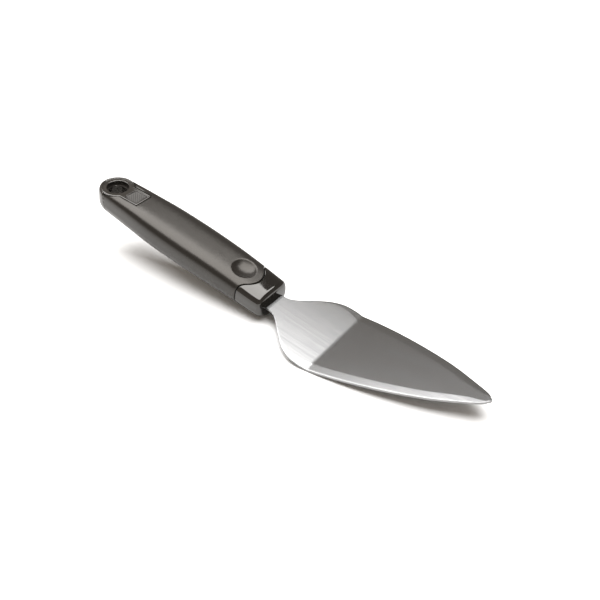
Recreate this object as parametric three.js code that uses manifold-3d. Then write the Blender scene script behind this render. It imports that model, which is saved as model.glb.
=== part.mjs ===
// Cake server: a pressed steel blade whose tang is pinned between two core halves, a soft grip
// over the core, a gloss front cap and a hard hanging eye let into the end of the grip.
// Millimetres. +X runs from the handle to the tip, +Z is up, and z = 0 is the table that the
// server lies on: it rests on the heel of the blade and on the underside of the front cap.
import * as THREE from 'three';
import { mergeVertices } from 'three/addons/utils/BufferGeometryUtils.js';
import Module from 'manifold-3d';

const wasm = await Module();
wasm.setup();

const rad = THREE.MathUtils.degToRad;

// ---------------------------------------------------------------- driving dimensions
const GAP = 0.3; // clearance between neighbouring pieces

// blade, measured along its own surface from the bend line
const HEEL_X = 41.42; // the bend line, the widest and lowest place of the blade
const BEND_LIFT = 0.17; // the rounded bend stands this far over the meeting of its two slopes
const FRONT_LENGTH = 92; // bend line to tip
const NECK_LENGTH = 43; // bend line to the face of the front cap
const TANG_LENGTH = 52; // length of the tang inside the handle
const SHEET = 1.3;
const FRONT_RISE = rad(6.73); // slope of the front of the blade
const REAR_RISE = rad(9.97); // slope of the rear of the blade, the tang and the handle
const BEND_RADIUS = 8;
const RIM_DROP = 0.42; // how far the rim lies below the flat at the bend
const RIM_TIP_DROP = 0.5;
const RIM_FLAT = 0.02; // least width left to the flat beside the rim

// handle, measured back from the face of the front cap
const RING_U = 122.9; // axis of the hanging eye
const RING_RADIUS = 11.4;
const HOLE_RADIUS = 5.4;
const SINK_RADIUS = 6.7;
const SINK_DEPTH = 3;
const PLATE_TILT = rad(4.5); // the eye plate leans forward of square to the handle
const PLATE_TOP = 11.2; // height of the plate over the handle axis at the eye
const PLATE_DEPTH = 2.4;
const PLATE_RIM = 0.9; // width of the raised rim round the plate
const PLATE_FLOOR = -0.2; // height of the sunk floor inside the rim
const TAB_FRONT_U = 101.2;
const TAB_HALF_WIDTH = 6.2;
const BADGE_THICKNESS = 0.8;
const BADGE_MARGIN = 0.6; // floor left between the badge and the rim
const END_WALL_U = 122.6; // the hard end of the handle starts here, at the height of the axis
const END_WALL_LEAN = rad(12); // and its front leans back towards the top
const BARREL_RADIUS = 8;

const SLEEVE_WALL = 1.9;
const CORE_WALL = 1.6;
const CORE_FRONT_U = 2.6;
const CORE_BACK_U = 112;
const CORE_CLEARANCE = 1.5; // grip left between the core and the eye, and under the dimple
const PIN_RADIUS = 2;
const PIN_U = [12, 40];
const BOSS_RADIUS = 4.2;

// thumb dimple and the seam that runs round it
const DIMPLE_U = 22.1;
const DIMPLE_RADIUS = 7.3;
const DIMPLE_DEPTH = 2.7;
const TONGUE_RADIUS = 10.9;
const SEAM_U = 18.1; // where the seam crosses the side walls
const SEAM_TURN_RADIUS = 12; // curve that leads the seam from the tongue to the side walls
const FRONT_EDGE_RADIUS = 3; // rounding round the face of the cap
const NOSE_BACK = 1.3; // how far the top of the cap's face leans back
const NOSE_RUN = 9; // length of the cap that leans
const NOSE_HEIGHT = 8.5; // height at which the whole lean is reached
const FRONT_CROWDING = 1.6; // above 1, stations crowd towards the face of the cap

const PLATE_INSET = 1.3; // the eye plate stops this far inside the half-round end
const PLATE_PROUD = 0.3; // and stands this far over the grip
const BADGE_DEPTH = 1;
const PIN_REACH = 5.5;
const CLEAR = 40; // well past the handle on every side

// ---------------------------------------------------------------- curves
// A smooth curve through [place, value] stops, in order of place.
function profile(stops) {
  const slope = (i) => {
    const a = stops[Math.max(i - 1, 0)];
    const b = stops[Math.min(i + 1, stops.length - 1)];
    return (b[1] - a[1]) / (b[0] - a[0]);
  };
  return (place) => {
    const last = stops.length - 2;
    const found = stops.findIndex((stop, i) => i > 0 && place <= stop[0]);
    const i = found < 0 ? last : found - 1;
    const [a, b] = [stops[i], stops[i + 1]];
    const span = b[0] - a[0];
    const t = THREE.MathUtils.clamp((place - a[0]) / span, 0, 1);
    const rise = b[1] - a[1];
    const [m, n] = [slope(i) * span, slope(i + 1) * span];
    return a[1] + t * (m + t * (3 * rise - 2 * m - n + t * (m + n - 2 * rise)));
  };
}

// Half width of the blade: tang and neck, shoulders, then the leaf-shaped front.
const bladeHalfWidth = profile([
  [-95, 6.6], [-42, 7.2], [-38, 8], [-34, 10.6], [-27, 17.2], [-20, 23.1], [-13, 26.6], [-6, 27.5],
  [0, 27.1], [11, 26.1], [23, 24.4], [37, 21.7], [51, 18.3], [65, 14.1], [78, 8.9], [88, 4.3], [92, 1.2],
]);
const rimWidth = profile([[-42, 0], [-34, 0.4], [-20, 1.6], [-8, 3.5], [0, 5.3], [60, 5], [80, 4.2], [92, 0.5]]);

// Handle section: half width, top and underside over the handle axis, by distance u back from the cap face.
const halfWidth = profile([
  [0, 12.7], [6, 13.2], [18, 13.7], [38, 14.4], [60, 14.8], [84, 14.3], [104, 12.8], [RING_U, RING_RADIUS],
]);
const topLine = profile([
  [0, 8.5], [8, 9.1], [22, 10.8], [38, 12.2], [60, 13.1], [84, 13.5], [102, 13.2], [RING_U, 12.2],
]);
const underLine = profile([[0, -8.9], [5, -9.03], [22, -8.6], [60, -9.1], [90, -8.9], [RING_U, -7.6]]);
// How square the section is over its widest place, and under it: 2 is an ellipse, higher is squarer.
const topPower = profile([[0, 3.9], [90, 3.9], [RING_U, 5.6]]);
const UNDER_POWER = 2;
const WIDEST = 0.53; // height of the widest place, as a share of the section

function wallPoint(u, across, up, inset) {
  const top = topLine(u) - inset;
  const under = underLine(u) + inset;
  const middle = under + WIDEST * (top - under);
  const power = 2 / (up > 0 ? topPower(u) : UNDER_POWER);
  const reach = up > 0 ? top - middle : middle - under;
  const y = Math.sign(across) * (halfWidth(u) - inset) * Math.abs(across) ** power;
  const z = middle + Math.sign(up) * reach * Math.abs(up) ** power;
  return [y, z];
}

// ---------------------------------------------------------------- solids
function solid(geometry) {
  const bare = geometry.clone();
  bare.deleteAttribute('normal');
  bare.deleteAttribute('uv');
  const merged = mergeVertices(bare, 1e-4);
  return new wasm.Manifold(new wasm.Mesh({
    numProp: 3,
    vertProperties: new Float32Array(merged.attributes.position.array),
    triVerts: new Uint32Array(merged.index.array),
  }));
}

function toGeometry(body) {
  const mesh = body.getMesh();
  const geometry = new THREE.BufferGeometry();
  geometry.setAttribute('position', new THREE.BufferAttribute(new Float32Array(mesh.vertProperties), 3));
  geometry.setIndex(new THREE.BufferAttribute(new Uint32Array(mesh.triVerts), 1));
  const flat = geometry.toNonIndexed();
  flat.computeVertexNormals();
  return flat;
}

// Moves every vertex of a geometry to place(x, y, z).
function reshape(geometry, place) {
  const position = geometry.attributes.position;
  for (let i = 0; i < position.count; i += 1) {
    position.setXYZ(i, ...place(position.getX(i), position.getY(i), position.getZ(i)));
  }
  return geometry;
}

// A straight-sided block over a plan outline, from z = low to z = high.
function prism(shape, low, high, curveSegments = 24) {
  const options = { depth: high - low, bevelEnabled: false, curveSegments };
  return solid(new THREE.ExtrudeGeometry(shape, options).translate(0, 0, low));
}

function upright(radius, low, high, x, sides = 36) {
  const geometry = new THREE.CylinderGeometry(radius, radius, high - low, sides);
  return solid(geometry.rotateX(Math.PI / 2).translate(x, 0, (low + high) / 2));
}

function block(fromX, toX, halfY, low, high) {
  const geometry = new THREE.BoxGeometry(toX - fromX, 2 * halfY, high - low);
  return solid(geometry.translate((fromX + toX) / 2, 0, (low + high) / 2));
}

// How far the top of the cap's face leans back at distance u and height z.
function noseLean(u, z) {
  const near = Math.max(1 - u / NOSE_RUN, 0);
  return NOSE_BACK * near ** 2 * THREE.MathUtils.clamp(z / NOSE_HEIGHT, 0, 1) ** 1.5;
}

// The handle's outer shape between two distances from the cap face, drawn in by inset.
function handleRun(fromU, toU, inset, stations, sides, roundFront) {
  const geometry = new THREE.CylinderGeometry(1, 1, 1, sides, stations);
  return solid(reshape(geometry, (up, along, across) => {
    const forward = along + 0.5;
    const back = (1 - forward) ** (roundFront ? FRONT_CROWDING : 1);
    const u = fromU + (toU - fromU) * back;
    const edge = Math.max(FRONT_EDGE_RADIUS - u, 0);
    const rounding = FRONT_EDGE_RADIUS - Math.sqrt(FRONT_EDGE_RADIUS ** 2 - edge ** 2);
    const radius = Math.hypot(up, across);
    const middle = underLine(u) + WIDEST * (topLine(u) - underLine(u));
    if (radius < 0.5) return [-u, 0, middle];
    const [y, z] = wallPoint(u, across / radius, up / radius, inset + (roundFront ? rounding : 0));
    return [-u - (roundFront ? noseLean(u, z) : 0), y, z];
  }));
}

// The half-round end: the section at the eye turned about the eye's axis.
function handleEnd(inset, steps, sides) {
  const points = [];
  for (let i = 0; i <= steps; i += 1) {
    const angle = Math.PI * (i / steps - 0.5);
    const [y, z] = wallPoint(RING_U, Math.cos(angle), Math.sin(angle), inset);
    points.push(new THREE.Vector2(i === 0 || i === steps ? 0 : y, z));
  }
  const geometry = new THREE.LatheGeometry(points, sides);
  return solid(geometry.rotateX(Math.PI / 2).translate(-RING_U, 0, 0));
}

// ---------------------------------------------------------------- blade
// A place on the middle of the sheet at distance s from the bend line, with the sheet's slope there.
function bladeLine(s) {
  const reach = BEND_RADIUS * Math.tan((FRONT_RISE + REAR_RISE) / 2);
  const height = RIM_DROP + SHEET / 2;
  if (s >= reach) {
    return { x: s * Math.cos(FRONT_RISE), z: height + s * Math.sin(FRONT_RISE), slope: FRONT_RISE };
  }
  if (s <= -reach) {
    return { x: s * Math.cos(REAR_RISE), z: height - s * Math.sin(REAR_RISE), slope: -REAR_RISE };
  }
  const slope = THREE.MathUtils.mapLinear(s, -reach, reach, -REAR_RISE, FRONT_RISE);
  const start = bladeLine(-reach);
  return {
    x: start.x + BEND_RADIUS * (Math.sin(slope) + Math.sin(REAR_RISE)),
    z: start.z + BEND_RADIUS * (Math.cos(REAR_RISE) - Math.cos(slope)),
    slope,
  };
}

const neck = bladeLine(-NECK_LENGTH);

function bladeSheet() {
  const stations = 64;
  const from = -NECK_LENGTH - TANG_LENGTH;
  const geometry = new THREE.BoxGeometry(1, 1, 1, stations, 4, 1);
  return solid(reshape(geometry, (along, across, up) => {
    const t = along + 0.5;
    const s = from + (FRONT_LENGTH - from) * t;
    const line = bladeLine(s);
    const side = Math.round(across * 4); // -2, -1, 0, 1, 2
    const rim = rimWidth(s);
    const half = bladeHalfWidth(s);
    const y = Math.abs(side) === 2 ? half : Math.abs(side) * (half - rim - RIM_FLAT);
    const drop = THREE.MathUtils.mapLinear(Math.max(s, 0), 0, FRONT_LENGTH, RIM_DROP, RIM_TIP_DROP);
    const fall = Math.abs(side) === 2 ? drop * Math.min(rim / rimWidth(0), 1) : 0;
    const offset = up * SHEET - fall;
    const x = line.x - offset * Math.sin(line.slope);
    return [x, Math.sign(side) * y, line.z + offset * Math.cos(line.slope)];
  }));
}

// Sets a solid of the handle's own frame into the frame of the whole part.
function fromHandleFrame(body) {
  const frame = new THREE.Matrix4().makeRotationY(REAR_RISE).setPosition(neck.x, 0, neck.z);
  return solid(toGeometry(body).applyMatrix4(frame));
}

function bladeBody() {
  let body = bladeSheet();
  for (const u of PIN_U) {
    body = body.subtract(fromHandleFrame(upright(PIN_RADIUS + GAP, -SHEET * 2, SHEET * 2, -u, 20)));
  }
  return body;
}

// ---------------------------------------------------------------- handle pieces
const outer = handleRun(0, RING_U, 0, 30, 36, true).add(handleEnd(0, 18, 36));

// Plan of everything in front of the seam: straight across the side walls, and a round tongue
// of the grip round the dimple on top. The outline is moved forward by shift.
function seamPlan(shift) {
  const tongue = TONGUE_RADIUS + shift;
  const turnBack = SEAM_TURN_RADIUS - shift;
  const sideX = -SEAM_U + shift;
  const ahead = sideX + turnBack + DIMPLE_U;
  const across = Math.sqrt((tongue + turnBack) ** 2 - ahead ** 2);
  const turn = Math.atan2(across, ahead);
  const shape = new THREE.Shape();
  shape.moveTo(CLEAR, -CLEAR);
  shape.lineTo(CLEAR, CLEAR);
  shape.lineTo(sideX, CLEAR);
  shape.lineTo(sideX, across);
  shape.absarc(sideX + turnBack, across, turnBack, Math.PI, Math.PI + turn, false);
  shape.absarc(-DIMPLE_U, 0, tongue, turn, -turn, true);
  shape.absarc(sideX + turnBack, -across, turnBack, Math.PI - turn, Math.PI, false);
  shape.lineTo(sideX, -CLEAR);
  return shape;
}

// Plan of the eye plate: a round eye with a square-ended tab, grown by grow.
function platePlan(grow) {
  const radius = RING_RADIUS - PLATE_INSET + grow;
  const tab = TAB_HALF_WIDTH + grow;
  const meet = Math.asin(tab / radius);
  const shape = new THREE.Shape();
  shape.absarc(-RING_U, 0, radius, meet, 2 * Math.PI - meet, false);
  shape.lineTo(-TAB_FRONT_U + grow, -tab);
  shape.lineTo(-TAB_FRONT_U + grow, tab);
  return shape;
}

// Turns a solid built level over the handle axis into the lean of the eye plate.
function leaned(body) {
  const toEye = new THREE.Matrix4().makeTranslation(RING_U, 0, 0);
  const lean = new THREE.Matrix4().makeRotationY(-PLATE_TILT);
  const back = new THREE.Matrix4().makeTranslation(-RING_U, 0, PLATE_TOP);
  return solid(toGeometry(body).applyMatrix4(back.multiply(lean).multiply(toEye)));
}

// The ring cut by the hang hole and its countersink, through the whole height of the handle.
function eyeHole() {
  const hole = upright(HOLE_RADIUS, -CLEAR, CLEAR, -RING_U, 32);
  const sink = leaned(upright(SINK_RADIUS, -SINK_DEPTH, CLEAR, -RING_U, 32));
  return hole.add(sink);
}

// Everything behind the leaning front of the hard end.
function endSpace(grow) {
  const geometry = new THREE.BoxGeometry(CLEAR + grow, 2 * CLEAR, 4 * CLEAR);
  geometry.translate((grow - CLEAR) / 2, 0, 0).rotateY(-END_WALL_LEAN).translate(-END_WALL_U, 0, 0);
  return solid(geometry);
}

// Hard end piece: barrel and round end through the handle, and the keyhole plate on top.
function eyeSpace(grow) {
  const barrel = upright(BARREL_RADIUS + grow, -CLEAR, CLEAR, -RING_U, 40);
  const wall = endSpace(grow);
  const plate = leaned(prism(platePlan(grow), -PLATE_DEPTH - grow, CLEAR));
  return barrel.add(wall).add(plate);
}

function trimmedTop() {
  return leaned(block(-RING_U - CLEAR, CLEAR, CLEAR, PLATE_PROUD, CLEAR));
}

// The sunk floor of the plate, inside its raised rim.
function sunkFloor() {
  return leaned(prism(platePlan(-PLATE_RIM), PLATE_FLOOR, CLEAR));
}

function badgeSpace(grow) {
  const fromX = -RING_U + RING_RADIUS - PLATE_RIM;
  const toX = -TAB_FRONT_U - PLATE_RIM - BADGE_MARGIN;
  const halfY = TAB_HALF_WIDTH - PLATE_RIM - BADGE_MARGIN;
  return leaned(block(fromX - grow, toX + grow, halfY + grow, -BADGE_DEPTH - grow, CLEAR));
}

function hangEyeInsert() {
  return outer.add(leaned(prism(platePlan(0), -PLATE_DEPTH, PLATE_PROUD)))
    .intersect(eyeSpace(0))
    .subtract(trimmedTop())
    .subtract(sunkFloor())
    .subtract(eyeHole())
    .subtract(badgeSpace(GAP));
}

function badgeInlay() {
  const top = leaned(block(-RING_U - CLEAR, CLEAR, CLEAR, BADGE_THICKNESS - BADGE_DEPTH, 2 * CLEAR));
  return badgeSpace(0).subtract(top);
}

// The dimple is part of a ball; grown, the ball clears the core under it.
function dimple(grow) {
  const radius = (DIMPLE_RADIUS ** 2 + DIMPLE_DEPTH ** 2) / (2 * DIMPLE_DEPTH);
  const ball = new THREE.SphereGeometry(radius + grow, 48, 32);
  return solid(ball.translate(-DIMPLE_U, 0, topLine(DIMPLE_U) - DIMPLE_DEPTH + radius));
}

// The core's shape with its walls thinned by inset: clear of the skin, the eye and the dimple.
function coreShape(inset) {
  return handleRun(CORE_FRONT_U + inset, CORE_BACK_U - inset, SLEEVE_WALL + GAP + inset, 14, 28, false)
    .subtract(eyeSpace(CORE_CLEARANCE + inset))
    .subtract(dimple(CORE_CLEARANCE + inset));
}

function gripSleeve() {
  return outer.subtract(prism(seamPlan(0), -CLEAR, CLEAR, 8))
    .subtract(coreShape(-GAP))
    .subtract(eyeSpace(GAP))
    .subtract(dimple(0));
}

function frontCap() {
  const halfY = bladeHalfWidth(-NECK_LENGTH) + GAP;
  const slot = block(-CORE_FRONT_U - CORE_WALL, CLEAR, halfY, -SHEET / 2 - GAP, SHEET / 2 + GAP);
  return outer.intersect(prism(seamPlan(GAP), -CLEAR, CLEAR, 8))
    .subtract(coreShape(-GAP))
    .subtract(slot);
}

// One half of the core: a shell open towards the tang, with a boss over each pin.
function coreHalf(side) {
  const [low, high] = side > 0 ? [SHEET / 2 + GAP, CLEAR] : [-CLEAR, -SHEET / 2 - GAP];
  const whole = coreShape(0);
  let half = whole.subtract(coreShape(CORE_WALL));
  for (const u of PIN_U) {
    half = half.add(upright(BOSS_RADIUS, -CLEAR, CLEAR, -u, 20).intersect(whole));
    half = half.subtract(upright(PIN_RADIUS + GAP, -PIN_REACH - GAP, PIN_REACH + GAP, -u, 20));
  }
  return half.intersect(block(-RING_U, 0, CLEAR, low, high));
}

// ---------------------------------------------------------------- assembly
function material(color, roughness, metalness) {
  return new THREE.MeshStandardMaterial({ color, roughness, metalness });
}

const steel = material(0xc9c9c6, 0.35, 1);
const grip = material(0x2b2927, 0.75, 0);
const gloss = material(0x141312, 0.15, 0);
const hard = material(0x34322f, 0.5, 0);

function piece(name, geometry, look) {
  const mesh = new THREE.Mesh(geometry, look);
  mesh.name = name;
  return mesh;
}

const handle = new THREE.Group();
handle.position.set(neck.x, 0, neck.z);
handle.rotation.y = REAR_RISE;
handle.add(piece('core_upper', toGeometry(coreHalf(1)), hard));
handle.add(piece('core_lower', toGeometry(coreHalf(-1)), hard));
handle.add(piece('grip_sleeve', toGeometry(gripSleeve()), grip));
handle.add(piece('front_cap', toGeometry(frontCap()), gloss));
handle.add(piece('hang_eye_insert', toGeometry(hangEyeInsert()), hard));
handle.add(piece('badge_inlay', toGeometry(badgeInlay()), hard));
PIN_U.forEach((u, i) => {
  const pin = upright(PIN_RADIUS, -PIN_REACH, PIN_REACH, -u, 20);
  handle.add(piece(`tang_pin_${['front', 'rear'][i]}`, toGeometry(pin), steel));
});

const server = new THREE.Group();
server.position.set(HEEL_X, 0, -BEND_LIFT);
server.add(piece('blade', toGeometry(bladeBody()), steel));
server.add(handle);

const part = new THREE.Group();
part.add(server);

export default part;
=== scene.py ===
"""Cake server lying on a pale table: the looks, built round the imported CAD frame.

Lengths in the shape functions are millimetres. The handle is made in its own frame: x is minus the
distance u back from the face of the front cap, y is across, z is the height over the handle axis.
"""

import math

import bmesh
import bpy
import numpy as np
from mathutils import Matrix, Vector


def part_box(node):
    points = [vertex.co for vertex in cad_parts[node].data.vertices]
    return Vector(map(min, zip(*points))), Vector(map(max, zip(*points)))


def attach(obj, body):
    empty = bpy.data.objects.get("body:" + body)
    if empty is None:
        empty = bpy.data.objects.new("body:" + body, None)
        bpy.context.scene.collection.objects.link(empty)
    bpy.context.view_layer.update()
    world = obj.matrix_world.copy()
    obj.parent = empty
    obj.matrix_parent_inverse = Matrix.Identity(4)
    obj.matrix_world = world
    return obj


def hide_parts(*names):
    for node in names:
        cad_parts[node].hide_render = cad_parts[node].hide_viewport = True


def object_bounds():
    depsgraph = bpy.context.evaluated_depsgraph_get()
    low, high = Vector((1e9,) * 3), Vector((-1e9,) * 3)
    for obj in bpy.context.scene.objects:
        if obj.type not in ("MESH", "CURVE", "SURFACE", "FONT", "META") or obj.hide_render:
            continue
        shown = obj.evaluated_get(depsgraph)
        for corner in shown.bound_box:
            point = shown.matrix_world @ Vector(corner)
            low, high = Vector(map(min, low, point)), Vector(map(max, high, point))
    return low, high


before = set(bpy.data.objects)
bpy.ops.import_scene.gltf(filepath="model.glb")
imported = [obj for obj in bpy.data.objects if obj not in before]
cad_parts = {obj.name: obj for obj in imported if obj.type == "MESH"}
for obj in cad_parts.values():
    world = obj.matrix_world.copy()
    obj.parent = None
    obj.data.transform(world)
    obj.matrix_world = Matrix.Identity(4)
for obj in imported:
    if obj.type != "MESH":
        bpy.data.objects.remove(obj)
cad_low, cad_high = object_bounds()

MM = 0.001

# ------------------------------------------------------------------ dimensions shared with the CAD
GAP = 0.3
FRONT_LENGTH, NECK_LENGTH, TANG_LENGTH = 92.0, 43.0, 52.0
SHEET = 1.3
FRONT_RISE, REAR_RISE = math.radians(6.73), math.radians(9.97)
BEND_RADIUS = 8.0
PIN_U = (12.0, 40.0)
PIN_HOLE_RADIUS = 2.3
RING_U, RING_RADIUS = 122.9, 11.4
HOLE_RADIUS, SINK_RADIUS, SINK_DEPTH = 5.4, 6.7, 3.0
PLATE_TILT, PLATE_TOP = math.radians(4.5), 11.2
PLATE_DEPTH, PLATE_PROUD, PLATE_INSET, PLATE_RIM, PLATE_FLOOR = 2.4, 0.3, 1.3, 0.9, -0.2
TAB_FRONT_U, TAB_HALF_WIDTH = 101.2, 6.2
BADGE_DEPTH, BADGE_THICKNESS, BADGE_MARGIN = 1.0, 0.8, 0.6
END_WALL_U, END_WALL_LEAN, BARREL_RADIUS = 122.6, math.radians(12), 8.0
SLEEVE_WALL, CORE_FRONT_U, CORE_BACK_U = 1.9, 2.6, 112.0
CORE_KEEP = 1.2  # grip left between the core's hollow and the eye or the dimple
DIMPLE_U, DIMPLE_RADIUS, DIMPLE_DEPTH = 22.1, 7.3, 2.7
TONGUE_RADIUS, SEAM_U, SEAM_TURN_RADIUS = 10.9, 18.1, 12.0
FRONT_EDGE_RADIUS = 3.0
NOSE_BACK, NOSE_RUN, NOSE_HEIGHT = 1.3, 9.0, 8.5  # how the top of the cap's face leans back
UNDER_POWER, WIDEST = 2.0, 0.53

# ------------------------------------------------------------------ finer shape of the looks
SEAM_EDGE = 0.6  # rounding of the grip's and the cap's edges at the seam
RECESS_EDGE = 0.45  # rounding of the grip round the eye plate
PLATE_EDGE = 0.25  # height of the rounding of the plate's raised rim
RIM_OUT, RIM_IN = 0.5, 0.35  # width of the rim's outer and inner slopes
PLATE_GAP = 0.45  # width of the joint between the plate and the grip
FLOOR_FILLET = 0.22  # where the rim meets the sunk floor
SINK_EDGE = 0.3  # rounding into the countersink
END_GROOVE = 0.12  # how far the hard end's top lies under the plate's rim
END_BLEND = 0.9  # softness of the edge round the hard end's top
DIMPLE_BLEND = 0.16  # softness of the dimple's rim
RIM_DROP, RIM_TIP_DROP = 0.32, 0.46  # depth of the blade's rim at the bend and the tip, less than in the CAD
CREASE = 0.3  # softness of the crease along the blade's rim
SHEET_EDGE = 0.3  # rounding of the sheet's edges
SHAVE = 0.03  # how far the fine curves keep inside the faceted ones
TIP_RADIUS = 1.7
HEEL_LIFT = 0.07  # keeps the smooth bend from dipping under the faceted one
PAST_DIMPLE_U, NEAR_EYE_U = 34.0, 96.0  # between these two the grip's loops lie further apart
INSERT_FRONT_U = 106.0  # where the hard end's solid starts, in front of its barrel and end wall
SHELL_INSETS = (1.6, 3.2, 5)  # loops that lead the shell inwards at the seam, into the hollow
BADGE_CORNER = 0.5
BADGE_SEAT_EDGE = 0.15  # rounding into the seat of the badge
KNURL_PITCH, KNURL_RELIEF = 1.7, 0.36
BADGE_FRAME, BADGE_FRAME_SUNK = 0.5, 0.6  # plain border: its width, and its depth as a share of the relief
CLEAR = 40.0  # reach of a cutting solid past the part
COLUMNS = 96  # spaces between the points down one side of a handle section
SECTION_STEPS = 1440  # fine steps down one side, from which the evenly spaced points are taken
SAME_POINT = 1e-5


# ------------------------------------------------------------------ curves
def profile(stops):
    """A smooth curve through (place, value) stops."""
    place = np.array([stop[0] for stop in stops], float)
    value = np.array([stop[1] for stop in stops], float)
    index = np.arange(len(stops))
    before = np.maximum(index - 1, 0)
    after = np.minimum(index + 1, len(stops) - 1)
    slope = (value[after] - value[before]) / (place[after] - place[before])

    def curve(at):
        at = np.clip(np.asarray(at, float), place[0], place[-1])
        i = np.clip(np.searchsorted(place, at) - 1, 0, len(stops) - 2)
        span = place[i + 1] - place[i]
        t = (at - place[i]) / span
        rise = value[i + 1] - value[i]
        m, n = slope[i] * span, slope[i + 1] * span
        return value[i] + t * (m + t * (3 * rise - 2 * m - n + t * (m + n - 2 * rise)))

    return curve


blade_half_width = profile([
    (-95, 6.6), (-42, 7.2), (-38, 8), (-34, 10.6), (-27, 17.2), (-20, 23.1), (-13, 26.6), (-6, 27.5),
    (0, 27.1), (11, 26.1), (23, 24.4), (37, 21.7), (51, 18.3), (65, 14.1), (78, 8.9), (88, 4.3), (92, 1.2),
])
rim_width = profile([(-42, 0), (-34, 0.4), (-20, 1.6), (-8, 3.5), (0, 5.3), (60, 5), (80, 4.2), (92, 0.5)])
half_width = profile([
    (0, 12.7), (6, 13.2), (18, 13.7), (38, 14.4), (60, 14.8), (84, 14.3), (104, 12.8), (RING_U, RING_RADIUS),
])
top_line = profile([
    (0, 8.5), (8, 9.1), (22, 10.8), (38, 12.2), (60, 13.1), (84, 13.5), (102, 13.2), (RING_U, 12.2),
])
# The underside runs a little higher than the CAD's, so that it stays inside the CAD's facets.
under_line = profile([(0, -8.86), (5, -8.98), (22, -8.57), (60, -9.08), (90, -8.88), (RING_U, -7.58)])
top_power = profile([(0, 3.9), (90, 3.9), (RING_U, 5.6)])  # 2 is an ellipse, higher is squarer


# ------------------------------------------------------------------ meshes
def new_object(name, points, faces):
    """A linked mesh object with doubled points joined and its faces turned outwards."""
    mesh = bpy.data.meshes.new(name)
    mesh.from_pydata(np.asarray(points, float).tolist(), [], faces)
    made = bpy.data.objects.new(name, mesh)
    bpy.context.scene.collection.objects.link(made)
    tidy = bmesh.new()
    tidy.from_mesh(mesh)
    bmesh.ops.remove_doubles(tidy, verts=tidy.verts, dist=SAME_POINT)
    bmesh.ops.recalc_face_normals(tidy, faces=tidy.faces)
    tidy.to_mesh(mesh)
    tidy.free()
    return made


def ring_faces(rows, count, first=0):
    """Quads between rows of count points that each close on themselves."""
    faces = []
    for row in range(rows - 1):
        low, high = first + row * count, first + (row + 1) * count
        faces += [(low + j, low + (j + 1) % count, high + (j + 1) % count, high + j) for j in range(count)]
    return faces


def stack(name, rows):
    """A closed solid from loops of equal length, with a flat face over the first and the last."""
    rows = [np.asarray(row, float) for row in rows]
    count = len(rows[0])
    faces = ring_faces(len(rows), count)
    faces.append(tuple(range(count)))
    faces.append(tuple(range((len(rows) - 1) * count, len(rows) * count)))
    return new_object(name, np.concatenate(rows), faces)


def combine(target, tool, operation):
    """Joins, cuts or trims target with tool, and removes tool."""
    modifier = target.modifiers.new("combine", "BOOLEAN")
    modifier.operation = operation
    modifier.solver = "MANIFOLD"
    modifier.object = tool
    graph = bpy.context.evaluated_depsgraph_get()
    made = bpy.data.meshes.new_from_object(target.evaluated_get(graph))
    target.modifiers.clear()
    target.data = made
    bpy.data.objects.remove(tool)
    return target


def cut(target, tool):
    return combine(target, tool, "DIFFERENCE")


# ------------------------------------------------------------------ places in the part
def centre(node):
    """Middle of a CAD node in millimetres."""
    low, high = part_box(node)
    return (low + high) / 2 / MM


front_pin = centre("tang_pin_front")
forward = (front_pin - centre("tang_pin_rear")).normalized()
upward = Vector((-forward.z, 0, forward.x))
cap_face = front_pin + PIN_U[0] * forward
bend = cap_face + NECK_LENGTH * forward
HANDLE = Matrix((
    (forward.x, 0, upward.x, cap_face.x),
    (0, 1, 0, 0),
    (forward.z, 0, upward.z, cap_face.z),
    (0, 0, 0, 1),
))
TO_METRES = Matrix.Scale(MM, 4)
LEAN = (
    Matrix.Translation((-RING_U, 0, PLATE_TOP))
    @ Matrix.Rotation(-PLATE_TILT, 4, "Y")
    @ Matrix.Translation((RING_U, 0, 0))
)


def leaned(made):
    """Sets a solid built level over the handle axis into the lean of the eye plate."""
    made.data.transform(LEAN)
    return made


def place(made, matrix, sharp_degrees):
    """Moves a solid from its own frame into the part's, and shades it."""
    made.data.transform(TO_METRES @ matrix)
    made.data.shade_smooth()
    made.data.set_sharp_from_angle(angle=math.radians(sharp_degrees))
    return made


# ------------------------------------------------------------------ handle surface
TABLE_STEP = 0.25
TABLE_U = np.arange(0, RING_U + TABLE_STEP, TABLE_STEP)


def even_sections(inset):
    """Half sections from the top to the underside, their points evenly spaced, one for each u."""
    turn = np.linspace(math.pi / 2, -math.pi / 2, SECTION_STEPS + 1)
    across, up = np.abs(np.cos(turn)), np.sin(turn)
    shares = np.linspace(0, 1, COLUMNS + 1)
    table = np.zeros((len(TABLE_U), COLUMNS + 1, 2))
    for i, u in enumerate(TABLE_U):
        top, under = top_line(u) - inset, under_line(u) + inset
        middle = under + WIDEST * (top - under)
        reach = np.where(up > 0, top - middle, middle - under)
        power = np.where(up > 0, 2 / top_power(u), 2 / UNDER_POWER)
        y = (half_width(u) - inset) * across**power
        z = middle + np.sign(up) * reach * np.abs(up) ** power
        run = np.concatenate(([0], np.cumsum(np.hypot(np.diff(y), np.diff(z)))))
        table[i, :, 0] = np.interp(shares * run[-1], run, y)
        table[i, :, 1] = np.interp(shares * run[-1], run, z)
    table[:, [0, -1], 0] = 0
    return table


SKIN = even_sections(0)
INNER = even_sections(1)


def skin(u, inset):
    """y and z of half a section, top to underside; u and inset are numbers or one value for each column."""
    at = np.clip(np.broadcast_to(np.asarray(u, float), COLUMNS + 1) / TABLE_STEP, 0, len(TABLE_U) - 1.001)
    i = at.astype(int)
    part = (at - i)[:, None]
    column = np.arange(COLUMNS + 1)
    outer = SKIN[i, column] * (1 - part) + SKIN[i + 1, column] * part
    inner = INNER[i, column] * (1 - part) + INNER[i + 1, column] * part
    return outer + (inner - outer) * np.broadcast_to(np.asarray(inset, float), COLUMNS + 1)[:, None]


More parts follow.
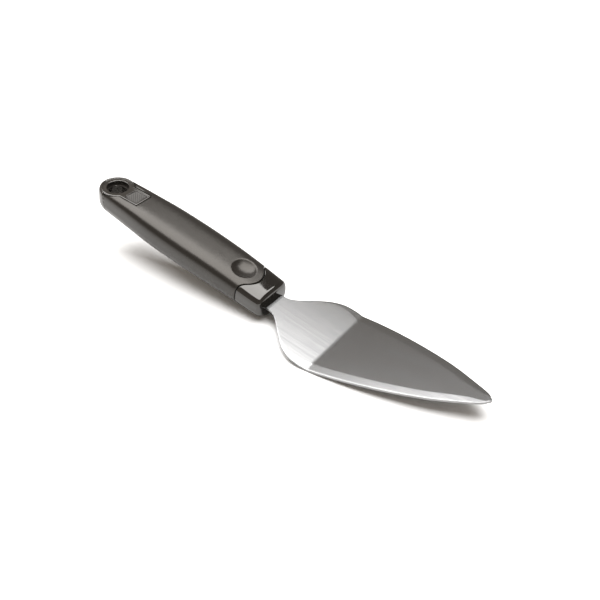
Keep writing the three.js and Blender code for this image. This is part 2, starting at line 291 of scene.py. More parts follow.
def loop(u, inset):
    """A closed loop of the handle's surface: down one side and up the other."""
    y, z = skin(u, inset).T
    x = -np.broadcast_to(np.asarray(u, float), COLUMNS + 1)
    half = np.stack([x, y, z], 1)
    other = half[-2:0:-1] * (1, -1, 1)
    return np.concatenate([half, other])


def end_rows(steps):
    """The half-round end: half a section turned about the eye's axis, without the first and last place."""
    y, z = skin(RING_U, 0).T
    rows = []
    for turn in np.linspace(0, math.pi, steps + 1)[1:-1]:
        rows.append(np.stack([-RING_U - y * math.sin(turn), y * math.cos(turn), z], 1)[1:-1])
    return rows


def handle_solid(name, loops, steps=0, move=None):
    """A solid from loops along the handle, closed in front by a fan and behind by a fan or the round end."""
    count = 2 * COLUMNS
    points = np.concatenate(loops)
    faces = ring_faces(len(loops), count)
    front_hub, back_hub = len(points), len(points) + 1
    hubs = [loops[0].mean(0), loops[-1].mean(0)]
    last = (len(loops) - 1) * count
    faces += [(front_hub, (j + 1) % count, j) for j in range(count)]
    if steps == 0:
        points = np.concatenate([points, hubs])
        faces += [(back_hub, last + j, last + (j + 1) % count) for j in range(count)]
    else:
        points = np.concatenate([points, hubs[:1]])
        ribs = [list(range(last, last + COLUMNS + 1))]
        for row in end_rows(steps):
            start = len(points)
            points = np.concatenate([points, row])
            ribs.append([last] + list(range(start, start + COLUMNS - 1)) + [last + COLUMNS])
        ribs.append([last] + [last + count - j for j in range(1, COLUMNS)] + [last + COLUMNS])
        for one, two in zip(ribs, ribs[1:]):
            faces.append((one[0], one[1], two[1]))
            faces += [(one[j], one[j + 1], two[j + 1], two[j]) for j in range(1, COLUMNS - 1)]
            faces.append((one[-2], one[-1], two[-2]))
    return new_object(name, move(points) if move else points, faces)


def seam_x(y, shift):
    """Where the seam lies along the handle, by distance across: side walls, turn, and round the dimple."""
    tongue, turn_back = TONGUE_RADIUS + shift, SEAM_TURN_RADIUS - shift
    side = -SEAM_U + shift
    across = math.sqrt((tongue + turn_back) ** 2 - (side + turn_back + DIMPLE_U) ** 2)
    touch = across * tongue / (tongue + turn_back)
    y = np.abs(y)
    on_tongue = -DIMPLE_U + np.sqrt(np.maximum(tongue**2 - y**2, 0))
    on_turn = side + turn_back - np.sqrt(np.maximum(turn_back**2 - (across - y) ** 2, 0))
    return np.where(y <= touch, on_tongue, np.where(y < across, on_turn, side))


def seam_u(shift):
    """Distance back to the seam, for each column."""
    u = np.full(COLUMNS + 1, SEAM_U)
    for _ in range(8):
        u = -seam_x(skin(u, 0)[:, 0], shift)
    return u


def rounding(distance, radius):
    """How far a rounded edge lies below its flat, at a distance from the edge."""
    short = np.clip(radius - distance, 0, radius)
    return radius - np.sqrt(radius**2 - short**2)


# ------------------------------------------------------------------ eye plate outlines
def eye_distance(x, y, grow):
    """Distance outside the keyhole outline of the eye plate; negative inside."""
    ring = np.hypot(x + RING_U, y) - (RING_RADIUS - PLATE_INSET + grow)
    along = np.maximum(x - (-TAB_FRONT_U + grow), -RING_U - x)
    side = np.abs(y) - (TAB_HALF_WIDTH + grow)
    outside = np.hypot(np.maximum(along, 0), np.maximum(side, 0))
    return np.minimum(ring, outside + np.minimum(np.maximum(along, side), 0))


def keyhole(z, grow, corner=0.9):
    """The eye plate's outline as a loop at height z: the ring's arc, then the tab with rounded corners."""
    radius, tab = RING_RADIUS - PLATE_INSET + grow, TAB_HALF_WIDTH + grow
    front = -TAB_FRONT_U + grow
    meet = math.asin(tab / radius)
    corner = max(corner + grow, 0.15)
    arc = np.linspace(meet, 2 * math.pi - meet, 121)
    points = [(-RING_U + radius * math.cos(a), radius * math.sin(a), z) for a in arc]
    for side, start in ((-1, -math.pi / 2), (1, 0)):
        for a in np.linspace(start, start + math.pi / 2, 9):
            x, y = front - corner + corner * math.cos(a), side * (tab - corner) + corner * math.sin(a)
            points.append((x, y, z))
    return points


def rectangle(low_x, high_x, half_y, corner, z):
    """A rectangle with rounded corners as a loop at height z."""
    points = []
    for quarter, (x, y) in enumerate(
        ((high_x - corner, half_y - corner), (low_x + corner, half_y - corner),
         (low_x + corner, corner - half_y), (high_x - corner, corner - half_y))
    ):
        for a in np.linspace(0, math.pi / 2, 7) + quarter * math.pi / 2:
            points.append((x + corner * math.cos(a), y + corner * math.sin(a), z))
    return points


def circle(radius, z, x=-RING_U, sides=128):
    """A circle as a loop at height z, round the eye's axis unless x says otherwise."""
    turns = np.arange(sides) * 2 * math.pi / sides
    return [(x + radius * math.cos(a), radius * math.sin(a), z) for a in turns]


def end_wall_x(z, grow):
    """Front of the hard end at height z; it leans back towards the top."""
    return -END_WALL_U - z * math.tan(END_WALL_LEAN) + grow / math.cos(END_WALL_LEAN)


def eye_tools(grow):
    """What the eye takes out of its neighbours: barrel, end wall and the leaned keyhole plate."""
    barrel = stack("barrel", [circle(BARREL_RADIUS + grow, -CLEAR), circle(BARREL_RADIUS + grow, CLEAR)])
    back = -RING_U - CLEAR
    wall = stack("wall", [rectangle(back, end_wall_x(z, grow), CLEAR, 0.01, z) for z in (-CLEAR, CLEAR)])
    plate = leaned(stack("plate", [keyhole(-PLATE_DEPTH - grow, grow), keyhole(CLEAR, grow)]))
    return [barrel, wall, plate]


# ------------------------------------------------------------------ pieces of the handle
def core_hollow():
    """The space inside the grip and the cap that the core fills, clear of the eye and the dimple."""
    loops = [loop(u, SLEEVE_WALL) for u in np.linspace(CORE_FRONT_U - GAP, CORE_BACK_U + GAP, 60)]
    hollow = handle_solid("hollow", loops)
    for tool in eye_tools(CORE_KEEP):
        cut(hollow, tool)
    ball = bmesh.new()
    radius = dimple_ball()[1] + CORE_KEEP
    bmesh.ops.create_uvsphere(ball, u_segments=96, v_segments=64, radius=radius)
    mesh = bpy.data.meshes.new("ball")
    ball.to_mesh(mesh)
    ball.free()
    mesh.transform(Matrix.Translation((-DIMPLE_U, 0, dimple_ball()[0])))
    tool = bpy.data.objects.new("ball", mesh)
    bpy.context.scene.collection.objects.link(tool)
    return cut(hollow, tool)


def dimple_ball():
    """Height of the middle and radius of the ball that the dimple is a part of."""
    radius = (DIMPLE_RADIUS**2 + DIMPLE_DEPTH**2) / (2 * DIMPLE_DEPTH)
    return float(top_line(DIMPLE_U)) - DIMPLE_DEPTH + radius, radius


def shape_grip(points):
    """Presses the dimple into the grip and rounds its edges round the eye plate and the end wall."""
    points = points.copy()
    x, y, z = points.T
    middle, radius = dimple_ball()
    away = np.hypot(x + DIMPLE_U, y)
    bowl = middle - np.sqrt(np.maximum(radius**2 - away**2, 0))
    under_bowl = (away < radius * 0.9) & (z > 0)
    mix = np.clip(0.5 + 0.5 * (bowl - z) / DIMPLE_BLEND, 0, 1)
    pressed = bowl * (1 - mix) + z * mix - DIMPLE_BLEND * mix * (1 - mix)
    points[:, 2] = np.where(under_bowl, pressed, z)
    top_height, tab_reach, wall_reach = 4, 6, 3
    on_top = (z > top_height) & (x < -TAB_FRONT_U + tab_reach)
    drop = rounding(np.maximum(eye_distance(x, y, PLATE_GAP), 0), RECESS_EDGE)
    points[:, 2] -= np.where(on_top, drop, 0)
    ahead = np.maximum(x - end_wall_x(z, GAP), 0)
    draw_in(points, np.where(x < -RING_U + wall_reach, rounding(ahead, RECESS_EDGE), 0))
    return points


def draw_in(points, depth):
    """Moves the side walls near the eye towards its axis by depth; points close to the axis stay."""
    x, y = np.minimum(points[:, 0] + RING_U, 0), points[:, 1]
    out, close = np.hypot(x, y), 5
    share = np.where(out > close, depth / np.maximum(out, 1), 0)
    points[:, 0] -= x * share
    points[:, 1] -= y * share


def grip_sleeve(hollow):
    """The soft grip from the seam to the hard end, hollow for the core."""
    start = seam_u(0)
    loops = [loop(start, inset) for inset in reversed(SHELL_INSETS)]
    for turn in np.linspace(0, math.pi / 2, 7):
        loops.append(loop(start + SEAM_EDGE * (1 - math.cos(turn)), SEAM_EDGE * (1 - math.sin(turn))))
    for share in np.linspace(0, 1, 66)[1:]:
        loops.append(loop((start + SEAM_EDGE) * (1 - share) + PAST_DIMPLE_U * share, 0))
    for low, high, count in ((PAST_DIMPLE_U, NEAR_EYE_U, 52), (NEAR_EYE_U, RING_U, 72)):
        loops += [loop(u, 0) for u in np.linspace(low, high, count)[1:]]
    sleeve = handle_solid("grip_sleeve_soft", loops, steps=60, move=shape_grip)
    cut(sleeve, hollow)
    for tool in eye_tools(GAP):
        cut(sleeve, tool)
    return cut(sleeve, leaned(stack("joint", [keyhole(-PLATE_DEPTH, PLATE_GAP), keyhole(CLEAR, PLATE_GAP)])))


def neck_slot():
    """The slot for the neck, flared where it meets the face of the cap."""
    half_y, half_z = float(blade_half_width(-NECK_LENGTH)) + GAP, SHEET / 2 + GAP
    rows = []
    for x, grow in ((-CORE_FRONT_U - 1.6, 0), (-0.15, 0), (0, 0.1), (1, 0.6)):
        row = rectangle(-half_z - grow, half_z + grow, half_y + grow, 0.5, x)
        rows.append([(x, y, z) for z, y, x in row])
    return stack("slot", rows)


def lean_nose(points):
    """Leans the top of the cap's face back, so that it rolls over towards the neck."""
    points = points.copy()
    near = np.clip(1 + points[:, 0] / NOSE_RUN, 0, 1)
    points[:, 0] -= NOSE_BACK * near**2 * np.clip(points[:, 2] / NOSE_HEIGHT, 0, 1) ** 1.5
    return points


def front_cap(hollow):
    """The cap from its face to the seam, with the slot for the neck."""
    stop = seam_u(GAP)
    face = loop(0, FRONT_EDGE_RADIUS)
    loops = [face.mean(0) * (1 - share) + face * share for share in (0.2, 0.5, 0.8)]
    for turn in np.linspace(0, math.pi / 2, 15):
        back = FRONT_EDGE_RADIUS * (1 - math.cos(turn))
        loops.append(loop(back, FRONT_EDGE_RADIUS * (1 - math.sin(turn))))
    for share in np.linspace(0, 1, 34)[1:]:
        loops.append(loop(FRONT_EDGE_RADIUS * (1 - share) + (stop - SEAM_EDGE) * share, 0))
    for turn in np.linspace(0, math.pi / 2, 7)[1:]:
        loops.append(loop(stop - SEAM_EDGE * (1 - math.sin(turn)), SEAM_EDGE * (1 - math.cos(turn))))
    loops += [loop(stop, inset) for inset in SHELL_INSETS]
    cap = handle_solid("front_cap_gloss", loops, move=lean_nose)
    cut(cap, hollow)
    return cut(cap, neck_slot())


def eye_plate():
    """The keyhole plate with its rim rounded, not yet hollowed."""
    rows = [keyhole(-PLATE_DEPTH, 0)]
    for turn in np.linspace(0, math.pi / 2, 8):
        rows.append(keyhole(PLATE_PROUD - PLATE_EDGE * (1 - math.sin(turn)), -RIM_OUT * (1 - math.cos(turn))))
    return leaned(stack("hang_eye_plate", rows))


def plate_pocket():
    """What is taken out of the plate inside its raised rim."""
    turns = np.linspace(0, math.pi / 2, 6)
    rows = []
    for turn in turns:
        sunk = FLOOR_FILLET * (1 - math.sin(turn))
        rows.append(keyhole(PLATE_FLOOR + FLOOR_FILLET * (1 - math.cos(turn)), -PLATE_RIM - sunk))
    for turn in turns:
        out = RIM_IN * (1 - math.cos(turn))
        rows.append(keyhole(PLATE_PROUD - PLATE_EDGE * (1 - math.sin(turn)), -PLATE_RIM + out))
    rows.append(keyhole(PLATE_PROUD + 1, -PLATE_RIM + RIM_IN))
    return leaned(stack("pocket", rows))


def countersink():
    """What is taken out round the hang hole: a bevel out of the bore, a flat step and the wall above it."""
    bevel_low, step = -SINK_DEPTH - 0.8, -SINK_DEPTH
    rows = [circle(HOLE_RADIUS - 0.5, bevel_low), circle(HOLE_RADIUS + 0.3, step), circle(SINK_RADIUS, step)]
    for turn in np.linspace(0, math.pi / 2, 8):
        out = SINK_EDGE * (1 - math.cos(turn))
        rows.append(circle(SINK_RADIUS + out, PLATE_FLOOR - SINK_EDGE * (1 - math.sin(turn))))
    rows.append(circle(SINK_RADIUS + SINK_EDGE, PLATE_FLOOR + 2))
    return leaned(stack("sink", rows))


def badge_bounds(grow):
    """Rear end, front end and half width of the badge, let out by grow."""
    margin = PLATE_RIM + BADGE_MARGIN - grow
    return -RING_U + RING_RADIUS - PLATE_RIM - grow, -TAB_FRONT_U - margin, TAB_HALF_WIDTH - margin


def badge_recess():
    """The seat of the badge in the tab, with a rounded edge."""
    low, high, half = badge_bounds(GAP / 2)
    edge = BADGE_SEAT_EDGE
    steps = [(0, -BADGE_DEPTH - GAP), (0, PLATE_FLOOR - edge)]
    for turn in np.linspace(0, math.pi / 2, 6)[1:]:
        steps.append((edge * (1 - math.cos(turn)), PLATE_FLOOR - edge * (1 - math.sin(turn))))
    steps.append((edge, PLATE_FLOOR + 2))
    rows = [rectangle(low - out, high + out, half + out, BADGE_CORNER + out, z) for out, z in steps]
    return leaned(stack("recess", rows))


def round_end_wall(points):
    """Levels the top of the hard end just under the plate's rim, and rounds its edges towards the grip."""
    points = points.copy()
    level = PLATE_TOP + PLATE_PROUD - END_GROOVE + (points[:, 0] + RING_U) * math.tan(PLATE_TILT)
    mix = np.clip(0.5 + 0.5 * (level - points[:, 2]) / END_BLEND, 0, 1)
    points[:, 2] = level * (1 - mix) + points[:, 2] * mix - END_BLEND * mix * (1 - mix)
    behind = np.maximum(end_wall_x(points[:, 2], 0) - points[:, 0], 0)
    draw_in(points, rounding(behind, RECESS_EDGE) + SHAVE)
    return points


def hang_eye_insert():
    """The hard end: barrel, round end and plate in one, with its pocket, bore and badge seat."""
    loops = [loop(u, 0) for u in np.linspace(INSERT_FRONT_U, RING_U, 30)]
    body = handle_solid("hang_eye_hard", loops, steps=80, move=round_end_wall)
    barrel, wall, spare = eye_tools(0)
    bpy.data.objects.remove(spare)
    combine(body, combine(barrel, wall, "UNION"), "INTERSECT")
    combine(body, eye_plate(), "UNION")
    cut(body, stack("bore", [circle(HOLE_RADIUS, -CLEAR), circle(HOLE_RADIUS, CLEAR)]))
    cut(body, plate_pocket())
    cut(body, countersink())
    return cut(body, badge_recess())


def badge_inlay():
    """A thin inlay with a fine diamond relief on top."""
    low, high, half = badge_bounds(-GAP / 2)
    xs, ys = np.linspace(low, high, 100), np.linspace(-half, half, 70)
    x, y = np.meshgrid(xs, ys, indexing="ij")
    edge = np.minimum(np.minimum(x - low, high - x), np.minimum(y + half, half - y))
    one_way = 0.5 + 0.5 * np.cos(2 * math.pi * (x + y) / KNURL_PITCH)
    other_way = 0.5 + 0.5 * np.cos(2 * math.pi * (x - y) / KNURL_PITCH)
    sunk = np.where(edge < BADGE_FRAME, BADGE_FRAME_SUNK, 1 - one_way * other_way)
    top = BADGE_THICKNESS - BADGE_DEPTH - KNURL_RELIEF * sunk
    upper = np.stack([x, y, top], -1).reshape(-1, 3)
    lower = upper.copy()
    lower[:, 2] = -BADGE_DEPTH
    rows, across = x.shape
    count = rows * across
    faces = []
    for i in range(rows - 1):
        for j in range(across - 1):
            a = i * across + j
            quad = (a, a + across, a + across + 1, a + 1)
            faces += [quad, tuple(count + k for k in reversed(quad))]
    rim = list(range(across)) + [i * across + across - 1 for i in range(1, rows)]
    rim += [(rows - 1) * across + j for j in range(across - 2, -1, -1)]
    rim += [i * across for i in range(rows - 2, 0, -1)]
    for a, b in zip(rim, rim[1:] + rim[:1]):
        faces.append((a, b, count + b, count + a))
    return leaned(new_object("badge_relief", np.concatenate([upper, lower]), faces))


# ------------------------------------------------------------------ blade
def blade_line(s):
    """Middle of the sheet at distance s from the bend, from where the two slopes meet: x, z and slope."""
    reach = BEND_RADIUS * math.tan((FRONT_RISE + REAR_RISE) / 2)
    if s >= reach:
        return s * math.cos(FRONT_RISE), s * math.sin(FRONT_RISE), FRONT_RISE
    if s <= -reach:
        return s * math.cos(REAR_RISE), -s * math.sin(REAR_RISE), -REAR_RISE
    slope = -REAR_RISE + (s + reach) / (2 * reach) * (FRONT_RISE + REAR_RISE)
    x = -reach * math.cos(REAR_RISE) + BEND_RADIUS * (math.sin(slope) + math.sin(REAR_RISE))
    z = reach * math.sin(REAR_RISE) + BEND_RADIUS * (math.cos(REAR_RISE) - math.cos(slope))
    return x, z, slope


def blade_half(s):
    """Half width of the sheet, with the tip rounded off."""
    half = float(blade_half_width(s)) - SHAVE
    past = s - (FRONT_LENGTH - TIP_RADIUS)
    if past > 0:
        half = min(half, math.sqrt(max(TIP_RADIUS**2 - past**2, 0)) + 0.02)
    return half


def blade_section(s):
    """Closed outline of the sheet across the blade: (across, height over its middle)."""
    half = blade_half(s)
    rim = min(float(rim_width(s)), 0.6 * half)
    share = min(float(rim_width(s)) / float(rim_width(0)), 1)
    drop = share * (RIM_DROP + (RIM_TIP_DROP - RIM_DROP) * max(s, 0) / FRONT_LENGTH)
    edge = min(SHEET_EDGE, 0.4 * half)
    crease = half - rim
    soft = min(CREASE, 0.45 * rim, 0.45 * crease)
    across = list(np.linspace(0, crease - soft, 8)[:-1])
    across += list(np.linspace(crease - soft, crease + soft, 8)[:-1])
    across += list(np.linspace(crease + soft, half - edge, 6))

    def fall(y):
        past = y - crease
        if rim < 0.05:
            return 0.0
        if past <= -soft:
            return 0.0
        if past >= soft:
            return drop * past / rim
        return drop / rim * (past + soft) ** 2 / (4 * soft)

    upper = [(y, SHEET / 2 - fall(y)) for y in across]
    lower = [(y, -SHEET / 2 - fall(y)) for y in across]
    outer = -fall(half - edge)
    round_up = []
    for turn in np.linspace(math.pi / 2, 0, 5)[1:]:
        y, z = half - edge + edge * math.cos(turn), outer + SHEET / 2 - edge + edge * math.sin(turn)
        round_up.append((y, z))
    round_down = [(y, 2 * outer - z) for y, z in reversed(round_up)]
    right = upper + round_up + round_down + lower[::-1]
    left = [(-y, z) for y, z in right[-2:0:-1]]
    return right + left


def blade():
    """The sheet from the end of the tang to the tip, with its two pin holes."""
    tang = -NECK_LENGTH - TANG_LENGTH
    stations = np.concatenate([
        np.linspace(tang, -44, 14)[:-1], np.linspace(-44, -3, 62)[:-1], np.linspace(-3, 3, 21)[:-1],
        np.linspace(3, 86, 90)[:-1], np.linspace(86, FRONT_LENGTH - TIP_RADIUS, 10)[:-1],
        FRONT_LENGTH - TIP_RADIUS * (1 - np.sin(np.linspace(0, math.pi / 2, 9))),
    ])
    rows = []
    for s in stations:
        x, z, slope = blade_line(s)
        rows.append([(x - up * math.sin(slope), y, z + up * math.cos(slope)) for y, up in blade_section(s)])
    sheet = stack("blade_sheet", rows)
    sheet.data.transform(Matrix.Translation(bend + Vector((0, 0, HEEL_LIFT))))
    for u in PIN_U:
        ends = (-SHEET * 2, SHEET * 2)
        hole = stack("pin_hole", [circle(PIN_HOLE_RADIUS, z, x=-u, sides=32) for z in ends])
        hole.data.transform(HANDLE)
        cut(sheet, hole)
    return sheet


# ------------------------------------------------------------------ materials
class Nodes:
    """A short hand for building a node material."""

    def __init__(self, name):
        self.material = bpy.data.materials.new(name)
        self.material.use_nodes = True
        self.tree = self.material.node_tree
        self.shader = self.tree.nodes["Principled BSDF"]
        self.place = self.add("ShaderNodeTexCoord").outputs["Object"]

    def add(self, kind, **settings):
        node = self.tree.nodes.new(kind)
        for key, value in settings.items():
            setattr(node, key, value)
        return node

    def link(self, output, target):
        self.tree.links.new(output, target)

    def noise(self, scale, detail=4.0, roughness=0.55, stretch=(1, 1, 1)):
        mapping = self.add("ShaderNodeMapping")
        mapping.inputs["Scale"].default_value = stretch
        self.link(self.place, mapping.inputs["Vector"])
        texture = self.add("ShaderNodeTexNoise")
        texture.inputs["Scale"].default_value = scale
        texture.inputs["Detail"].default_value = detail
        texture.inputs["Roughness"].default_value = roughness
        self.link(mapping.outputs["Vector"], texture.inputs["Vector"])
        return texture.outputs["Fac"]

    def cells(self, scale, stretch=(1, 1, 1)):
        mapping = self.add("ShaderNodeMapping")
        mapping.inputs["Scale"].default_value = stretch
        self.link(self.place, mapping.inputs["Vector"])
        texture = self.add("ShaderNodeTexVoronoi")
        texture.inputs["Scale"].default_value = scale
        self.link(mapping.outputs["Vector"], texture.inputs["Vector"])
        return texture.outputs["Distance"]

    def ramp(self, value, low, high, start=0.3, end=0.7):
        """Maps a value from start..end to low..high, held inside that range."""
        mapped = self.add("ShaderNodeMapRange")
        for name, number in (("From Min", start), ("From Max", end), ("To Min", low), ("To Max", high)):
            mapped.inputs[name].default_value = number
        self.link(value, mapped.inputs["Value"])
        return mapped.outputs["Result"]

    def colour(self, value, low, high, start=0.3, end=0.7):
        """Mixes two colours by a value."""
        mix = self.add("ShaderNodeMix", data_type="RGBA")
        self.link(self.ramp(value, 0, 1, start, end), mix.inputs["Factor"])
        mix.inputs[6].default_value = (*low, 1)
        mix.inputs[7].default_value = (*high, 1)
        return mix.outputs[2]

    def sum(self, one, two, share=0.5):
        mix = self.add("ShaderNodeMix", data_type="FLOAT")
        mix.inputs["Factor"].default_value = share
        self.link(one, mix.inputs[2])
        self.link(two, mix.inputs[3])
        return mix.outputs[0]

    def bump(self, height, distance, strength=1.0):
        node = self.add("ShaderNodeBump")
        node.inputs["Strength"].default_value = strength
        node.inputs["Distance"].default_value = distance
        self.link(height, node.inputs["Height"])
        self.link(node.outputs["Normal"], self.shader.inputs["Normal"])


def brushed_steel(name, streak, shade, smooth, rough):
    """Steel brushed along X: streaks, a few deeper lines, patches worn smoother, a sheen across the lines."""
    made = Nodes(name)
    lines = made.noise(1, 3, 0.6, streak)
    scores = made.noise(1, 2, 0.5, tuple(0.45 * axis for axis in streak))
    patches = made.noise(55, 4, 0.6)
    both = made.sum(made.sum(lines, scores, 0.4), patches, 0.25)
    dark, light = tuple(shade * part for part in (0.88, 0.885, 0.895)), (shade * 1.1,) * 3
    made.link(made.colour(both, dark, light, 0.4, 0.6), made.shader.inputs["Base Color"])
    made.link(made.ramp(both, rough, smooth, 0.36, 0.64), made.shader.inputs["Roughness"])
    made.shader.inputs["Metallic"].default_value = 1
    made.shader.inputs["Anisotropic"].default_value = 0.65
    across = made.add("ShaderNodeCombineXYZ")
    across.inputs["Y"].default_value = 1
    made.link(across.outputs["Vector"], made.shader.inputs["Tangent"])
    made.bump(made.sum(lines, scores, 0.4), 0.00001, 0.3)
    return made.material


def soft_grip():
    """Soft rubber: a fine grain with pores, rubbed a little smoother in patches."""
    made = Nodes("soft_grip")
    grain = made.noise(2200, 3, 0.65)
    pores = made.cells(1700)
    rubbed = made.noise(45, 5, 0.6)
    tone = made.sum(rubbed, grain, 0.45)
    made.link(made.colour(tone, (0.006, 0.0053, 0.0046), (0.0095, 0.0084, 0.0074), 0.38, 0.62),
              made.shader.inputs["Base Color"])
    made.link(made.ramp(tone, 0.33, 0.26, 0.38, 0.62), made.shader.inputs["Roughness"])
    made.shader.inputs["IOR"].default_value = 1.475
    made.shader.inputs["Specular Tint"].default_value = (1, 0.94, 0.87, 1)
    made.bump(made.sum(grain, pores, 0.5), 0.00006, 0.6)
    return made.material


def gloss_plastic(name, shade, roughness, scratch, ior):
    """Moulded plastic: faint flow marks and fine scratches from handling."""
    made = Nodes(name)
    handled = made.noise(70, 4, 0.6)
    fine = made.noise(1, 2, 0.5, (900, 4200, 2600))
    dark, light = (shade * 0.9, shade * 0.8, shade * 0.72), (shade * 1.25, shade * 1.12, shade)
    made.link(made.colour(handled, dark, light), made.shader.inputs["Base Color"])
    made.link(made.ramp(made.sum(handled, fine, 0.4), roughness, roughness + scratch),
              made.shader.inputs["Roughness"])
    made.shader.inputs["IOR"].default_value = ior
    made.shader.inputs["Specular Tint"].default_value = (1, 0.97, 0.93, 1)
    made.bump(made.sum(handled, fine, 0.3), 0.00001, 0.3)
    return made.material


def eye_plastic():
    """Dark moulded plastic, worn bright along its convex edges and dull in its hollows."""
    made = Nodes("eye_satin")
    handled = made.noise(70, 4, 0.6)
    fine = made.noise(1, 2, 0.5, (900, 4200, 2600))
    edges = made.add("ShaderNodeNewGeometry").outputs["Pointiness"]
    worn = made.ramp(edges, 0, 1, 0.5, 0.56)
    dark, light = (0.011, 0.01, 0.009), (0.016, 0.0145, 0.013)
    made.link(made.colour(handled, dark, light), made.shader.inputs["Base Color"])
    scratched = made.ramp(made.sum(handled, fine, 0.4), 0.1, 0.16)
    made.link(made.sum(scratched, made.ramp(worn, 0.14, 0.06, 0, 1), 0.5), made.shader.inputs["Roughness"])
    made.link(made.ramp(worn, 0.5, 1, 0, 1), made.shader.inputs["Specular IOR Level"])
    made.shader.inputs["IOR"].default_value = 1.66
    made.shader.inputs["Specular Tint"].default_value = (1, 0.97, 0.93, 1)
    made.bump(made.sum(handled, fine, 0.3), 0.00001, 0.3)
    return made.material


def hidden_plastic(name, shade):
    """Plain moulded plastic of the core."""
    made = Nodes(name)
    flow = made.noise(120, 5, 0.6, (0.4, 1, 1))
    made.link(made.colour(flow, (shade * 0.85,) * 3, (shade * 1.15,) * 3), made.shader.inputs["Base Color"])
    made.link(made.ramp(flow, 0.45, 0.6), made.shader.inputs["Roughness"])
    made.bump(made.noise(1500, 2), 0.00003, 0.4)
    return made.material


def pale_table():
    """A matt, nearly white surface."""
    made = Nodes("pale_table")
    drift = made.noise(3, 3)
    made.link(made.colour(drift, (0.79, 0.79, 0.79), (0.81, 0.81, 0.81)), made.shader.inputs["Base Color"])
    made.link(made.ramp(drift, 0.75, 0.8), made.shader.inputs["Roughness"])
    made.shader.inputs["Specular IOR Level"].default_value = 0.1
    return made.material


# ------------------------------------------------------------------ assembly
def finish_piece(made, matrix, node, material, sharp_degrees=35):
    """Places a piece, gives it its finish, and lets it stand for a CAD node."""
    place(made, matrix, sharp_degrees)
    made.data.materials.clear()
    made.data.materials.append(material)
    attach(made, "root")
    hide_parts(node)


def dress(node, material):
    """Gives a CAD node that stays visible its finish."""
    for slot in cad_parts[node].material_slots:
        slot.material = material


steel = brushed_steel("brushed_steel", (18, 900, 0), 0.25, 0.19, 0.24)
gloss = gloss_plastic("gloss_black", 0.004, 0.03, 0.05, 1.66)
eye_satin = eye_plastic()
pin_steel = brushed_steel("turned_steel", (300, 300, 3000), 0.4, 0.25, 0.35)
core = hidden_plastic("core_plastic", 0.09)

finish_piece(blade(), Matrix.Identity(4), "blade", steel, 50)
hollow = core_hollow()
spare_hollow = hollow.copy()
spare_hollow.data = hollow.data.copy()
bpy.context.scene.collection.objects.link(spare_hollow)
finish_piece(front_cap(hollow), HANDLE, "front_cap", gloss)
finish_piece(grip_sleeve(spare_hollow), HANDLE, "grip_sleeve", soft_grip())
finish_piece(hang_eye_insert(), HANDLE, "hang_eye_insert", eye_satin)
badge = badge_inlay()
badge_finish = gloss_plastic("badge_plastic", 0.008, 0.12, 0.08, 1.6)
finish_piece(badge, HANDLE, "badge_inlay", badge_finish, 60)
for node in ("core_upper", "core_lower"):
    dress(node, core)
for node in ("tang_pin_front", "tang_pin_rear"):
    dress(node, pin_steel)


# ------------------------------------------------------------------ table, light and camera
ROOM_BEHIND, ROOM_NEAR, ROOM_LOW = 0.265, 0.4, 1.2


def table():
    """A flat table top under the part."""
    half, cells = 3.0, 12
    places = np.linspace(-half, half, cells + 1)
    points = [(x, y, 0) for x in places for y in places]
    side = cells + 1
    faces = [(i * side + j, (i + 1) * side + j, (i + 1) * side + j + 1, i * side + j + 1)
             for i in range(cells) for j in range(cells)]
    made = new_object("table", points, faces)
    made.data.materials.append(pale_table())
    made.location.z = cad_low.z


def softbox(name, at, towards, size, radiance):
    """A rectangular area light of even brightness."""
    light = bpy.data.lights.new(name, "AREA")
    light.shape = "RECTANGLE"
    light.size, light.size_y = size
    light.energy = radiance * math.pi * size[0] * size[1]
    made = bpy.data.objects.new(name, light)
    made.location = at
    made.rotation_euler = (Vector(towards) - Vector(at)).to_track_quat("-Z", "Y").to_euler()
    bpy.context.scene.collection.objects.link(made)
    return made


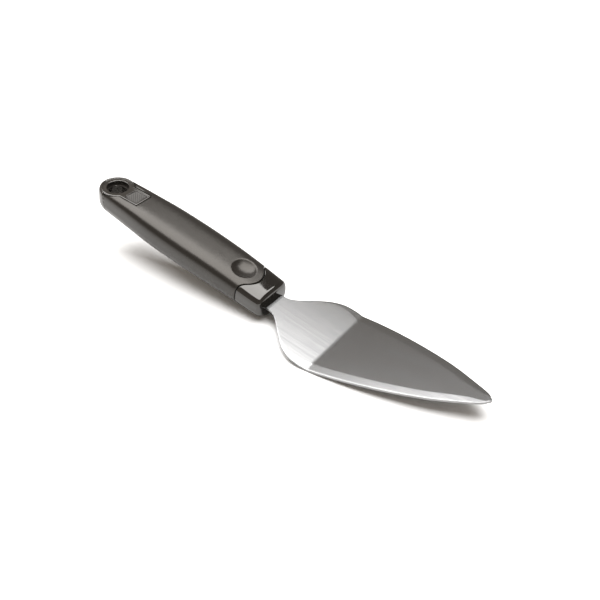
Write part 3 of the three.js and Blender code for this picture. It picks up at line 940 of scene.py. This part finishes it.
def surroundings():
    """A dim warm room, brighter low down and on the near side than behind the server."""
    world = bpy.data.worlds.new("room")
    bpy.context.scene.world = world
    world.use_nodes = True
    tree = world.node_tree
    coordinates = tree.nodes.new("ShaderNodeTexCoord")

    def facing(way, low, high, start, end):
        dot = tree.nodes.new("ShaderNodeVectorMath")
        dot.operation = "DOT_PRODUCT"
        dot.inputs[1].default_value = Vector(way).normalized()
        shade = tree.nodes.new("ShaderNodeMapRange")
        shade.interpolation_type = "SMOOTHSTEP"
        for name, number in (("From Min", start), ("From Max", end), ("To Min", low), ("To Max", high)):
            shade.inputs[name].default_value = number
        tree.links.new(coordinates.outputs["Generated"], dot.inputs[0])
        tree.links.new(dot.outputs["Value"], shade.inputs["Value"])
        return shade.outputs["Result"]

    level = tree.nodes.new("ShaderNodeMath")
    level.operation = "MULTIPLY"
    tree.links.new(facing((0.2, -0.97, 0), ROOM_BEHIND, ROOM_NEAR, -0.35, 0.45), level.inputs[0])
    tree.links.new(facing((0, 0, 1), ROOM_LOW, 1, 0.2, 0.55), level.inputs[1])
    tree.links.new(level.outputs["Value"], tree.nodes["Background"].inputs["Strength"])
    tree.nodes["Background"].inputs["Color"].default_value = (1.1, 0.99, 0.87, 1)


def camera():
    """The view of the photo."""
    azimuth, elevation, roll = math.radians(36.765), math.radians(38.869), math.radians(0.032)
    at = Vector((0.2239, -0.2760, 0.2949))
    out = math.cos(elevation)
    back = Vector((math.sin(azimuth) * out, -math.cos(azimuth) * out, math.sin(elevation)))
    level = Vector((math.cos(azimuth), math.sin(azimuth), 0))
    over = back.cross(level)
    right = level * math.cos(roll) + over * math.sin(roll)
    over = back.cross(right)
    data = bpy.data.cameras.new("camera")
    data.sensor_width, data.lens = 36, 48.9
    data.shift_x, data.shift_y = -0.0008, 0.0043
    made = bpy.data.objects.new("camera", data)
    made.matrix_world = Matrix((
        (right.x, over.x, back.x, at.x),
        (right.y, over.y, back.y, at.y),
        (right.z, over.z, back.z, at.z),
        (0, 0, 0, 1),
    ))
    bpy.context.scene.collection.objects.link(made)
    bpy.context.scene.camera = made


table()
surroundings()
overhead = softbox("overhead", (-0.125, 0.09, 0.62), (-0.125, 0.09, 0), (1.05, 0.69), 6.3)
overhead.rotation_euler.z = math.radians(12)
camera()
bpy.context.scene.view_settings.view_transform = "Standard"
